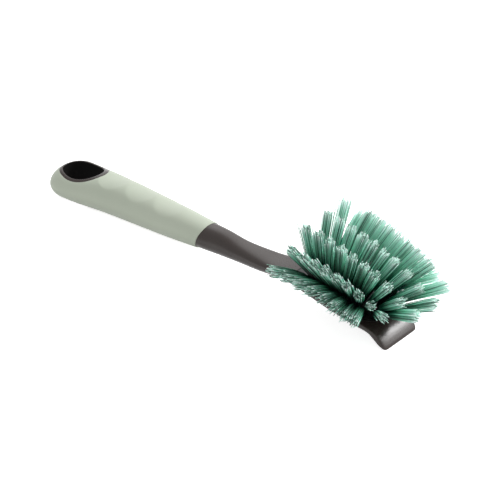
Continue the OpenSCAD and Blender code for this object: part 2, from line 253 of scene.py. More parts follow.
class Skin:
    """Points and faces of a surface that is laid loop by loop."""

    def __init__(self):
        self.points = []
        self.faces = []

    def loop(self, points):
        first = len(self.points)
        self.points.extend(points)
        return list(range(first, len(self.points)))

    def band(self, a, b):
        """Joins two loops of as many points with a band of faces."""
        count = len(a)
        for k in range(count):
            n = (k + 1) % count
            self.faces.append((a[k], a[n], b[n], b[k]))

    def bands(self, rows):
        """Lays rows of points as loops and joins each to the next."""
        loops = [self.loop(row) for row in rows]
        for a, b in zip(loops, loops[1:]):
            self.band(a, b)
        return loops

    def cap(self, loop):
        self.faces.append(tuple(loop))

    def mesh(self, name):
        """A mesh in metres, its seams welded and its faces turned outwards."""
        mesh = bpy.data.meshes.new(name)
        mesh.from_pydata([[c * MM for c in p] for p in self.points], [], self.faces)
        work = bmesh.new()
        work.from_mesh(mesh)
        bmesh.ops.remove_doubles(work, verts=work.verts, dist=WELD)
        bmesh.ops.recalc_face_normals(work, faces=work.faces)
        work.to_mesh(mesh)
        work.free()
        return mesh


def slope(table, k, field):
    """Slope of one field of a list of stations at station k, which is level at both ends of the list."""
    if k == 0 or k == len(table) - 1:
        return 0.0
    before = table[k - 1]
    after = table[k + 1]
    return (getattr(after, field) - getattr(before, field)) / (after.u - before.u)


def value_at(table, field, u):
    """A smooth value at u of one field of a list of stations."""
    k = 0
    while k < len(table) - 2 and u > table[k + 1].u:
        k += 1
    step = table[k + 1].u - table[k].u
    t = min(1.0, max(0.0, (u - table[k].u) / step))
    a = getattr(table[k], field)
    b = getattr(table[k + 1], field)
    out = slope(table, k, field) * step
    into = slope(table, k + 1, field) * step
    return (a * (2 * t ** 3 - 3 * t ** 2 + 1) + out * (t ** 3 - 2 * t ** 2 + t)
            + b * (3 * t ** 2 - 2 * t ** 3) + into * (t ** 3 - t ** 2))


def smooth_step(t):
    """A rise from 0 to 1 that starts and ends level."""
    t = min(1.0, max(0.0, t))
    return t * t * (3 - 2 * t)


def fillet(radius, steps=5):
    """Steps of a rounded edge: how far in from the edge, and how far below the surface."""
    turns = [math.pi / 2 * k / steps for k in range(steps + 1)]
    return [(radius * (1 - math.cos(t)), radius * (1 - math.sin(t))) for t in turns]


def nose(u, inset):
    """Rounding of the tail: 0 at its very end and 1 past the nose."""
    if u >= NOSE_R:
        return 1.0
    return math.sqrt(max(0.0, 1 - ((NOSE_R - u) / (NOSE_R - inset)) ** 2))


def dish_at(u, y):
    """Depth of the thumb dishes at a place of the grip's top."""
    depth = 0.0
    for middle in DISHES:
        inside = 1 - ((u - middle) * 2 / DISH_LEN) ** 2 - (y * 2 / DISH_W) ** 2
        if inside > 0:
            depth += DISH_DEPTH * inside ** DISH_POWER
    return depth


def grip_section(u, inset):
    """Half width, middle height and half height of the grip."""
    f = nose(u, inset)
    top = NOSE_Z + (value_at(GRIP, "top", u) - inset - NOSE_Z) * f
    bottom = NOSE_Z + (value_at(GRIP, "bottom", u) + inset - NOSE_Z) * f
    return (value_at(GRIP, "half_w", u) - inset) * f, (top + bottom) / 2, (top - bottom) / 2


def grip_height(u, y, inset, up):
    """Height of the grip's upper or lower surface over a place in plan."""
    half_w, middle, half_h = grip_section(u, inset)
    c = min(1.0, max(-1.0, y / half_w)) if half_w > 1e-9 else 1.0
    z = middle + up * half_h * math.sqrt(1 - c * c)
    return max(0.0, z - dish_at(u, y) if up > 0 and inset == 0 else z)


def grip_ring(u_mid, inset, lean):
    """A ring round the grip whose plane leans forward as the front edge does."""
    ring = []
    for k in range(2 * RING_HALF):
        a = math.pi * k / RING_HALF
        u = u_mid
        for _ in range(LEAN_PASSES if lean else 1):
            y = grip_section(u, inset)[0] * math.cos(a)
            z = grip_height(u, y, inset, 1 if k <= RING_HALF else -1)
            u = u_mid + lean * FRONT_LEAN * (z - FRONT_MID_Z)
        ring.append((TAIL_X + u, y, z))
    return ring


def grip_rings(inset, end_u, gap):
    """Rings from the tail patch to the front."""
    count = round((end_u - PATCH_U) / gap)
    places = [PATCH_U + (end_u - PATCH_U) * k / count for k in range(count + 1)]
    return [grip_ring(u, inset, smooth_step((u - GRIP_LEN + LEAN_FADE) / LEAN_FADE)) for u in places]


def tail_outline(inset):
    """Plan of the tail: across where the rings begin, and round the nose from side to side."""
    half_w = grip_section(PATCH_U, inset)[0]
    front = [(PATCH_U, half_w * math.cos(math.pi * k / RING_HALF)) for k in range(RING_HALF + 1)]
    sides = [PATCH_U + (NOSE_R - PATCH_U) * k / SIDE_STEPS for k in range(1, SIDE_STEPS)]
    turns = [math.pi / 2 * (1 - k / NOSE_STEPS) for k in range(NOSE_STEPS + 1)]
    sides += [NOSE_R - (NOSE_R - inset) * math.cos(t) for t in turns]
    near = [(u, -grip_section(u, inset)[0]) for u in sides]
    far = [(u, -y) for u, y in reversed(near[:-1])]
    return front + near + far


def hole_radius(angle, grow):
    """Distance from the hole's middle to its outline, grown by a margin."""
    lead = LINING_LEAD if math.cos(angle) > 0 else 1.0
    along = HOLE_LEN / 2 + grow * lead
    across = HOLE_W / 2 + grow
    return along * across / math.hypot(across * math.cos(angle), along * math.sin(angle))


def tail_patch(inset, grow, edge, up):
    """Rows of points over the tail, from the hole's rim out to the outline in plan."""

    def on_skin(u, y, drop=0.0):
        return (TAIL_X + u, y, grip_height(u, y, inset, up) - up * drop)

    outline = tail_outline(inset)
    lines = []
    for u, y in outline:
        angle = math.atan2(y, u - HOLE_AT)
        start = hole_radius(angle, grow)
        reach = math.hypot(y, u - HOLE_AT) - start
        lines.append((math.cos(angle), math.sin(angle), start, reach))
    rows = []
    for off, drop in edge:
        rows.append([on_skin(HOLE_AT + (start + off) * c, (start + off) * s, drop)
                     for c, s, start, reach in lines])
    first = edge[-1][0]
    for k in range(1, PATCH_STEPS):
        share = math.sin(math.pi / 2 * k / PATCH_STEPS)
        row = []
        for c, s, start, reach in lines:
            out = start + first + (reach - first) * share
            row.append(on_skin(HOLE_AT + out * c, out * s))
        rows.append(row)
    rows.append([on_skin(u, y) for u, y in outline])
    return rows


def grip_shell(skin, inset, grow, edge, end_rings):
    """Lays the patches over and under the tail and the rings to the front; gives its three open loops."""
    over = skin.bands(tail_patch(inset, grow, edge, 1))
    under = skin.bands(tail_patch(inset, grow, edge, -1))
    rings = skin.bands(end_rings)
    return over[0], under[0], rings[-1]


def squared(t, power):
    """A sine or cosine for an outline of this squareness, where 2 is round."""
    return math.copysign(abs(t) ** (2 / power), t)


def core_ring(u_mid, lean, shrink=0.0):
    """A ring of the neck, head or lip, drawn in by a share for the rounded lip edge."""
    ring = []
    for k in range(CORE_SIDES):
        a = 2 * math.pi * k / CORE_SIDES
        upper = math.sin(a) > 0
        u = u_mid
        for _ in range(LEAN_PASSES if lean else 1):
            top = value_at(CORE, "top", u)
            bottom = value_at(CORE, "bottom", u)
            widest = bottom + (top - bottom) * value_at(CORE, "level", u)
            power = value_at(CORE, "upper" if upper else "lower", u)
            half_h = (top - widest if upper else widest - bottom) * (1 - shrink)
            z = widest + half_h * squared(math.sin(a), power)
            past = max(0.0, u - BODY_LEN + LIP_CORNER_R)
            corner = LIP_CORNER_R - math.sqrt(max(0.0, LIP_CORNER_R ** 2 - past ** 2))
            half_w = value_at(CORE, "half_w", u) - corner - shrink * LIP_ROUND
            u = u_mid + lean * FRONT_LEAN * (z - FRONT_MID_Z)
        ring.append((TAIL_X + u, half_w * squared(math.cos(a), power), max(0.0, z)))
    return ring


def block_outline(grow):
    """Plan of the bristle block, from its own middle, grown by a margin."""
    outline = []
    for k in range(OUTLINE_POINTS):
        t = 2 * math.pi * (k + 0.5) / OUTLINE_POINTS
        x = (BLOCK_LEN / 2 + grow) * squared(math.cos(t), BLOCK_POWER)
        y = (BLOCK_W / 2 + BLOCK_TAPER * x + grow) * squared(math.sin(t), BLOCK_POWER)
        outline.append((x, y))
    return outline


def on_head(x, y, z):
    """A point of the head's own sloping frame, in the brush's."""
    c = math.cos(HEAD_PITCH)
    s = math.sin(HEAD_PITCH)
    return (TAIL_X + HEAD_U + x * c + z * s, y, HEAD_TOP + z * c - x * s)


def prism(outline, low, high):
    """A closed prism in the head's frame."""
    skin = Skin()
    ends = skin.bands([[on_head(x, y, z) for x, y in outline] for z in (low, high)])
    skin.cap(ends[0])
    skin.cap(ends[1])
    return skin


def add_object(name, data):
    made = bpy.data.objects.new(name, data)
    bpy.context.scene.collection.objects.link(made)
    return made


def helper(name, skin):
    """An object that takes part in a cut or a join."""
    return add_object(name, skin.mesh(name))


def combine(target, operation, *others):
    """Joins others to the target, or cuts them from it, and removes them."""
    for other in others:
        modifier = target.modifiers.new(operation, "BOOLEAN")
        modifier.operation = operation
        modifier.solver = "EXACT"
        modifier.object = other
    evaluated = target.evaluated_get(bpy.context.evaluated_depsgraph_get())
    mesh = bpy.data.meshes.new_from_object(evaluated)
    work = bmesh.new()
    work.from_mesh(mesh)
    bmesh.ops.triangulate(work, faces=work.faces)
    bmesh.ops.dissolve_degenerate(work, dist=WELD, edges=work.edges)
    work.to_mesh(mesh)
    work.free()
    target.modifiers.clear()
    target.data = mesh
    for other in others:
        bpy.data.objects.remove(other)


def as_piece(piece, material, body, slot, *nodes):
    """Gives a piece its finish and body, and lets it stand for its CAD nodes."""
    piece.data.materials.clear()
    piece.data.materials.append(material)
    piece.data.shade_smooth()
    piece.data.set_sharp_from_angle(angle=SMOOTH_ANGLE)
    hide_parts(*nodes)
    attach(piece, body)


def add_node(tree, kind, **settings):
    node = tree.nodes.new(kind)
    for key, value in settings.items():
        setattr(node, key, value)
    return node


def new_group(name, inputs, outputs):
    """A shader node group with named inputs and outputs, and its two end nodes."""
    tree = bpy.data.node_groups.new(name, "ShaderNodeTree")
    for label, kind, value in inputs:
        socket = tree.interface.new_socket(name=label, in_out="INPUT", socket_type=kind)
        socket.default_value = value
    for label, kind in outputs:
        tree.interface.new_socket(name=label, in_out="OUTPUT", socket_type=kind)
    return tree, tree.nodes.new("NodeGroupInput"), tree.nodes.new("NodeGroupOutput")


def moulded_grain():
    """Fine spark-eroded grain with a slow mottle, as moulded plastic and rubber have."""
    if "moulded_grain" in bpy.data.node_groups:
        return bpy.data.node_groups["moulded_grain"]
    tree, given, out = new_group(
        "moulded_grain",
        [("Grain Scale", "NodeSocketFloat", 2200.0), ("Mottle Scale", "NodeSocketFloat", 45.0)],
        [("Height", "NodeSocketFloat"), ("Mottle", "NodeSocketFloat"), ("Grain", "NodeSocketFloat")],
    )
    place = add_node(tree, "ShaderNodeTexCoord")
    fine = add_node(tree, "ShaderNodeTexNoise")
    fine.inputs["Detail"].default_value = 2.0
    broad = add_node(tree, "ShaderNodeTexNoise")
    broad.inputs["Detail"].default_value = 3.0
    link = tree.links.new
    link(place.outputs["Object"], fine.inputs["Vector"])
    link(place.outputs["Object"], broad.inputs["Vector"])
    link(given.outputs["Grain Scale"], fine.inputs["Scale"])
    link(given.outputs["Mottle Scale"], broad.inputs["Scale"])
    link(fine.outputs["Fac"], out.inputs["Height"])
    link(broad.outputs["Fac"], out.inputs["Mottle"])
    link(fine.outputs["Fac"], out.inputs["Grain"])
    return tree


def new_material(name):
    """A material, its node tree and its main shader."""
    material = bpy.data.materials.new(name)
    material.use_nodes = True
    return material, material.node_tree, material.node_tree.nodes["Principled BSDF"]


def spread(tree, source, low, high):
    """A value that runs from low to high as the source runs over the middle of a noise."""
    node = add_node(tree, "ShaderNodeMapRange")
    node.inputs["From Min"].default_value = 0.3
    node.inputs["From Max"].default_value = 0.7
    node.inputs["To Min"].default_value = low
    node.inputs["To Max"].default_value = high
    tree.links.new(source, node.inputs["Value"])
    return node.outputs["Result"]


def moulded_finish(name, colour, shade, roughness, specular,
                   swing=0.05, bump=0.00003, grain_scale=2600.0):
    """A moulded surface: two near tones in a slow mottle, and a fine grain in its gloss and height."""
    material, tree, shader = new_material(name)
    shader.inputs["Specular IOR Level"].default_value = specular
    grain = add_node(tree, "ShaderNodeGroup", node_tree=moulded_grain())
    grain.inputs["Grain Scale"].default_value = grain_scale
    tone = add_node(tree, "ShaderNodeMix", data_type="RGBA")
    tone.inputs["A"].default_value = (*shade, 1)
    tone.inputs["B"].default_value = (*colour, 1)
    height = add_node(tree, "ShaderNodeBump")
    height.inputs["Distance"].default_value = bump
    height.inputs["Strength"].default_value = 0.5
    gloss = spread(tree, grain.outputs["Grain"], roughness - swing, roughness + swing)
    link = tree.links.new
    link(spread(tree, grain.outputs["Mottle"], 0.0, 1.0), tone.inputs["Factor"])
    link(tone.outputs["Result"], shader.inputs["Base Color"])
    link(gloss, shader.inputs["Roughness"])
    link(grain.outputs["Height"], height.inputs["Height"])
    link(height.outputs["Normal"], shader.inputs["Normal"])
    return material


def rubber_finish(settings):
    """Soft-touch rubber, matt, with a faint bloom at its edges."""
    material = moulded_finish("soft_grip_rubber", settings.colour, settings.shade, settings.roughness,
                              specular=0.35, grain_scale=1800.0)
    shader = material.node_tree.nodes["Principled BSDF"]
    shader.inputs["Sheen Weight"].default_value = 0.2
    shader.inputs["Sheen Roughness"].default_value = 0.5
    return material


def plastic_finish(settings):
    """Hard satin plastic of the lining, neck, head and lip."""
    return moulded_finish("hard_core_plastic", settings.colour, settings.shade, settings.roughness,
                          specular=0.36, swing=0.04, bump=0.00002)


def hole_shade_finish(settings):
    """The same plastic inside the hole, dull from the mould's core pin, and near black as painted shade
    in the hole.
    """
    return moulded_finish("hole_wall_plastic", settings.hole_shade_colour, settings.hole_shade_colour,
                          roughness=0.75, specular=0.1)


def painted_shade_block_finish(settings):
    """Plastic of the bristle block, near black and far darker than the core's: painted shade of the
    bristles over it.
    """
    return moulded_finish("block_plastic", settings.block_painted_shade_colour, settings.block_deeper_painted_shade,
                          settings.block_roughness, specular=0.5)


def filament_finish(settings):
    """Nylon with painted shade, near black in the depth of the fan, and painted light just below the
    tips, its own green between and a lighter cut tip.
    """
    material, tree, shader = new_material("nylon_filament")
    along = add_node(tree, "ShaderNodeAttribute", attribute_name="along")
    tone = add_node(tree, "ShaderNodeAttribute", attribute_name="tone")
    ramp = add_node(tree, "ShaderNodeValToRGB")
    # Stops along each filament: the root and low ones are painted shade in the depth of the fan, the high
    # one painted light below the tips, and the main and tip ones the nylon's own tones
    tones_and_painted_light = (
        (0.5, settings.root_painted_shade),
        (0.67, settings.low_painted_shade),
        (0.82, settings.colour),
        (0.94, settings.high_painted_light),
        (0.985, settings.tip_colour),
    )
    stops = ramp.color_ramp.elements
    for place, _ in tones_and_painted_light[1:-1]:
        stops.new(place)
    for stop, (place, colour) in zip(stops, tones_and_painted_light):
        stop.position = place
        stop.color = (*colour, 1)
    shade = add_node(tree, "ShaderNodeMix", data_type="RGBA", blend_type="MULTIPLY")
    shade.inputs["Factor"].default_value = 1.0
    link = tree.links.new
    link(along.outputs["Fac"], ramp.inputs["Fac"])
    link(ramp.outputs["Color"], shade.inputs["A"])
    # Each filament's tone: random, and raised on the far rows as painted light from behind
    link(spread(tree, tone.outputs["Fac"], 0.35, 1.55), shade.inputs["B"])
    link(shade.outputs["Result"], shader.inputs["Base Color"])
    shader.inputs["Roughness"].default_value = settings.roughness
    shader.inputs["Specular IOR Level"].default_value = 0.28
    shader.inputs["Subsurface Weight"].default_value = 0.6
    shader.inputs["Subsurface Radius"].default_value = (0.7, 1.0, 0.85)
    shader.inputs["Subsurface Scale"].default_value = 0.001
    return material


def wire_finish():
    """Bright drawn wire, a little uneven in its gloss."""
    material, tree, shader = new_material("drawn_wire")
    grain = add_node(tree, "ShaderNodeGroup", node_tree=moulded_grain())
    shader.inputs["Base Color"].default_value = (0.5, 0.37, 0.15, 1)
    shader.inputs["Metallic"].default_value = 1.0
    tree.links.new(spread(tree, grain.outputs["Grain"], 0.25, 0.4), shader.inputs["Roughness"])
    return material


class GripSettings(bpy.types.PropertyGroup):
    """Sizes and colours of the soft grip."""

    colour: FloatVectorProperty(
        name="Colour", description="Main tone of the soft grip",
        subtype="COLOR", size=3, min=0, max=1, default=(0.455, 0.50, 0.41))
    shade: FloatVectorProperty(
        name="Second tone", description="Slightly deeper tone of the slow mottle",
        subtype="COLOR", size=3, min=0, max=1, default=(0.435, 0.483, 0.393))
    roughness: FloatProperty(
        name="Roughness", description="How matt the rubber is",
        subtype="FACTOR", min=0, max=1, default=0.58)
    edge_r: FloatProperty(
        name="Edge radius", description="Rounding of the grip's edges",
        unit="LENGTH", precision=5, min=0.1 * MM, max=0.6 * MM, default=0.4 * MM)


class CoreSettings(bpy.types.PropertyGroup):
    """Sizes and colours of the hard core and the bristle block."""

    colour: FloatVectorProperty(
        name="Colour", description="Main tone of the hard plastic",
        subtype="COLOR", size=3, min=0, max=1, default=(0.034, 0.0245, 0.0215))
    shade: FloatVectorProperty(
        name="Second tone", description="Slightly deeper tone of the slow mottle",
        subtype="COLOR", size=3, min=0, max=1, default=(0.029, 0.0208, 0.0182))
    roughness: FloatProperty(
        name="Roughness", description="How satin the plastic is",
        subtype="FACTOR", min=0, max=1, default=0.3)
    # The hole wall's colour is painted shade in the hole, far darker than the core's plastic.
    hole_shade_colour: FloatVectorProperty(
        name="Hole wall", description="Tone of the wall inside the hanging hole",
        subtype="COLOR", size=3, min=0, max=1, default=(0.004, 0.0038, 0.0036))
    # The block's colours are painted shade of the bristles over it, far darker than the core's plastic.
    block_painted_shade_colour: FloatVectorProperty(
        name="Block colour", description="Main tone of the bristle block",
        subtype="COLOR", size=3, min=0, max=1, default=(0.006, 0.0055, 0.0055))
    block_deeper_painted_shade: FloatVectorProperty(
        name="Block second tone", description="Deeper tone of the bristle block",
        subtype="COLOR", size=3, min=0, max=1, default=(0.004, 0.0036, 0.0036))
    block_roughness: FloatProperty(
        name="Block roughness", description="How matt the bristle block is",
        subtype="FACTOR", min=0, max=1, default=0.5)
    rim_r: FloatProperty(
        name="Rim radius", description="Rounding of the hanging hole's rim",
        unit="LENGTH", precision=5, min=0.3 * MM, max=1.2 * MM, default=0.9 * MM)


class BristleSettings(bpy.types.PropertyGroup):
    """Sizes and colours of the filaments."""

    count: IntProperty(
        name="Filaments", description="Filaments in one tuft", min=8, max=80, default=54)
    thickness: FloatProperty(
        name="Thickness", description="Diameter of one filament",
        unit="LENGTH", precision=5, min=0.2 * MM, max=0.6 * MM, default=0.44 * MM)
    root_r: FloatProperty(
        name="Root radius", description="Radius of a tuft in its hole",
        unit="LENGTH", precision=5, min=0.8 * MM, max=1.3 * MM, default=1.05 * MM)
    spread_r: FloatProperty(
        name="Tip radius", description="Radius of a tuft at its tips",
        unit="LENGTH", precision=5, min=1.5 * MM, max=3.6 * MM, default=3.1 * MM)
    jostle: FloatProperty(
        name="Jostle", description="How far the tips stand out of their even spacing",
        unit="LENGTH", precision=5, min=0, max=1.0 * MM, default=0.3 * MM)
    wave: FloatProperty(
        name="Wave", description="Waviness of the filaments",
        unit="LENGTH", precision=5, min=0, max=1.0 * MM, default=0.22 * MM)
    uneven: FloatProperty(
        name="Uneven cut", description="Unevenness of the cut tips",
        unit="LENGTH", precision=5, min=0, max=2.0 * MM, default=0.9 * MM)
    # The root and low colours are painted shade, near black in the depth of the fan, and the high colour
    # is painted light below the tips; the main and tip colours are the nylon's own.
    root_painted_shade: FloatVectorProperty(
        name="Root colour", description="Tone of the half next to the block",
        subtype="COLOR", size=3, min=0, max=1, default=(0.0006, 0.004, 0.0028))
    low_painted_shade: FloatVectorProperty(
        name="Low colour", description="Tone two thirds of the way up",
        subtype="COLOR", size=3, min=0, max=1, default=(0.012, 0.12, 0.07))
    colour: FloatVectorProperty(
        name="Colour", description="Main tone of the filaments, where they come into the light",
        subtype="COLOR", size=3, min=0, max=1, default=(0.18, 0.47, 0.34))
    high_painted_light: FloatVectorProperty(
        name="High colour", description="Tone just below the tips",
        subtype="COLOR", size=3, min=0, max=1, default=(0.29, 0.56, 0.45))
    tip_colour: FloatVectorProperty(
        name="Tip colour", description="Tone of the cut tips",
        subtype="COLOR", size=3, min=0, max=1, default=(0.53, 0.77, 0.67))
    roughness: FloatProperty(
        name="Roughness", description="How matt the nylon is",
        subtype="FACTOR", min=0, max=1, default=0.35)


class StudioSettings(bpy.types.PropertyGroup):
    """Light, floor and camera."""

    key_power: FloatProperty(
        name="Back softbox", description="Power of the broad light behind",
        unit="POWER", min=0, max=100, default=9.5)
    lip_power: FloatProperty(
        name="Lip light", description="Power of the small light behind the lip",
        unit="POWER", min=0, max=100, default=15.0)
    fill_power: FloatProperty(
        name="Front fill", description="Power of the light in front",
        unit="POWER", min=0, max=100, default=2.2)
    ambient: FloatProperty(
        name="Ambient", description="Strength of the white surroundings on the brush",
        min=0, max=2, default=0.52)
    floor_glow: FloatProperty(
        name="Floor glow", description="How much of the floor's white is its own",
        subtype="FACTOR", min=0, max=1, default=0.75)
    azimuth: FloatProperty(
        name="Azimuth", description="Camera's turn round the brush",
        subtype="ANGLE", default=math.radians(40.7))
    elevation: FloatProperty(
        name="Elevation", description="Camera's height angle",
        subtype="ANGLE", default=math.radians(31.1))
    distance: FloatProperty(
        name="Distance", description="Camera's distance", unit="LENGTH", default=1.0)
    lens: FloatProperty(
        name="Lens", description="Focal length of the camera", unit="CAMERA", default=124.056)


class DISHBRUSH_OT_soft_grip(bpy.types.Operator):
    """Make the soft grip, a shell with the lined hole's cut-out and three thumb dishes"""

    bl_idname = "dish_brush.soft_grip"
    bl_label = "Soft Grip"

    def execute(self, context):
        settings = context.scene.dish_grip
        edge_r = settings.edge_r / MM
        edge = fillet(edge_r)
        rings = grip_rings(0.0, GRIP_LEN - edge_r, RING_GAP)
        rings += [grip_ring(GRIP_LEN - off, drop, 1.0) for off, drop in reversed(edge[:-1])]
        inner_rings = grip_rings(SKIN_T, GRIP_LEN, HIDDEN_RING_GAP)
        skin = Skin()
        outer = grip_shell(skin, 0.0, LINING_T, edge, rings)
        inner = grip_shell(skin, SKIN_T, LINING_T, [(0.0, 0.0)], inner_rings)
        for a, b in zip(outer, inner):
            skin.band(a, b)
        piece = add_object("soft_grip", skin.mesh("soft_grip"))
        as_piece(piece, rubber_finish(settings), HANDLE, "soft_grip", "grip_sleeve")
        return {"FINISHED"}


class DISHBRUSH_OT_hard_core(bpy.types.Operator):
    """Make the hard core: hole lining, tang under the grip, neck, head with its pocket, and lip"""

    bl_idname = "dish_brush.hard_core"
    bl_label = "Hard Core"

    # Steps of the hole's rounded rim, of the lining's outer edge and of the lip's end
    RIM_STEPS = 8
    OUTER_STEPS = 3
    LIP_STEPS = 10
    # How far the tang stays clear of the grip's inside, and how far it reaches into the neck
    TANG_GAP = 0.02
    TANG_REACH = 3.0
    # How many rings the neck and the head have, and how far apart these and the lip's are
    NECK_RINGS = 22
    NECK_RING_GAP = 1.5
    HEAD_RINGS = 42
    HEAD_RING_GAP = 2.2
    LIP_RING_GAP = 0.8

    def lining(self, rim_r):
        """A closed ring round the hanging hole, with a rounded rim above and below."""
        inner = [(0.0, off, drop) for off, drop in fillet(rim_r, self.RIM_STEPS)]
        outer = [(LINING_T, -off, drop) for off, drop in fillet(LINING_OUTER_R, self.OUTER_STEPS)]
        angles = [math.atan2(y, u - HOLE_AT) for u, y in tail_outline(0.0)]
        rows = []
        for up in (1, -1):
            side = []
            for grow, off, drop in inner + outer[::-1]:
                row = []
                for angle in angles:
                    radius = hole_radius(angle, grow) + off
                    u = HOLE_AT + radius * math.cos(angle)
                    y = radius * math.sin(angle)
                    row.append((TAIL_X + u, y, grip_height(u, y, 0.0, up) - up * drop))
                side.append(row)
            rows += side if up > 0 else side[::-1]
        skin = Skin()
        loops = skin.bands(rows)
        skin.band(loops[-1], loops[0])
        return skin

    def tang(self):
        """The core's middle, which fills the grip."""
        inset = SKIN_T + self.TANG_GAP
        rings = grip_rings(inset, GRIP_LEN + self.TANG_REACH, HIDDEN_RING_GAP)
        skin = Skin()
        over, under, front = grip_shell(skin, inset, LINING_T / 2, [(0.0, 0.0)], rings)
        skin.band(over, under)
        skin.cap(front)
        return skin

    def neck_and_head(self):
        """The neck, the head and the lip with its rounded end, as one row of rings."""
        places = [GRIP_LEN + k * self.NECK_RING_GAP for k in range(self.NECK_RINGS)]
        places += [places[-1] + self.HEAD_RING_GAP * k for k in range(1, self.HEAD_RINGS + 1)]
        last = BODY_LEN - LIP_CORNER_R
        left = last - places[-1]
        count = round(left / self.LIP_RING_GAP)
        places += [places[-1] + left * k / count for k in range(1, count + 1)]
        rings = [core_ring(u, 1 - smooth_step((u - GRIP_LEN) / LEAN_FADE)) for u in places]
        for k in range(1, self.LIP_STEPS + 1):
            u = last + LIP_CORNER_R * math.sin(math.pi / 2 * k / self.LIP_STEPS)
            past = max(0.0, u - BODY_LEN + LIP_ROUND) / LIP_ROUND
            rings.append(core_ring(u, 0.0, 1 - math.sqrt(max(0.0, 1 - LIP_DRAW * past ** 2))))
        skin = Skin()
        loops = skin.bands(rings)
        skin.cap(loops[0])
        skin.cap(loops[-1])
        return skin

    def socket(self, x, y):
        """A cutter for the socket of one press peg."""
        turns = [2 * math.pi * k / SOCKET_SIDES for k in range(SOCKET_SIDES)]
        outline = [(x + PEG_R * math.cos(t), y + PEG_R * math.sin(t)) for t in turns]
        return helper("socket", prism(outline, -BLOCK_T - PEG_DEPTH, -BLOCK_T + SOCKET_CUT))

    def paint_hole_shade(self, core, settings):
        """Gives the faces of the hole's wall their own finish, whose near-black colour is painted shade.
        """
        core.data.materials.append(hole_shade_finish(settings))
        for face in core.data.polygons:
            x, y, z = (c / MM for c in face.center)
            along = x - TAIL_X - HOLE_AT
            near_hole = math.hypot(along, y) < hole_radius(math.atan2(y, along), 0) + WALL_EDGE
            if near_hole and abs(face.normal.z) < WALL_STEEP:
                face.material_index = 1

    def execute(self, context):
        settings = context.scene.dish_core
        core = helper("hard_core", self.neck_and_head())
        tang = helper("tang", self.tang())
        lining = helper("lining", self.lining(settings.rim_r / MM))
        combine(core, "UNION", tang, lining)
        pocket = helper("pocket", prism(block_outline(BLOCK_GAP), -BLOCK_T, POCKET_CUT))
        sockets = [self.socket(x, y) for x in (-PEG_AHEAD, PEG_AHEAD) for y in (-PEG_ASIDE, PEG_ASIDE)]
        combine(core, "DIFFERENCE", pocket, *sockets)
        as_piece(core, plastic_finish(settings), HANDLE, "hard_plastic", "handle_core")
        self.paint_hole_shade(core, settings)
        return {"FINISHED"}


class DISHBRUSH_OT_block(bpy.types.Operator):
    """Finish the bristle block and the anchor wires, whose shapes are right as they are"""

    bl_idname = "dish_brush.block"
    bl_label = "Bristle Block"

    def execute(self, context):
        # The block's finish is painted shade of the bristles over it.
        block = painted_shade_block_finish(context.scene.dish_core)
        for name, material in (("bristle_block", block), ("anchor_wires", wire_finish())):
            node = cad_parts[name]
            node.data.materials.clear()
            node.data.materials.append(material)
        return {"FINISHED"}


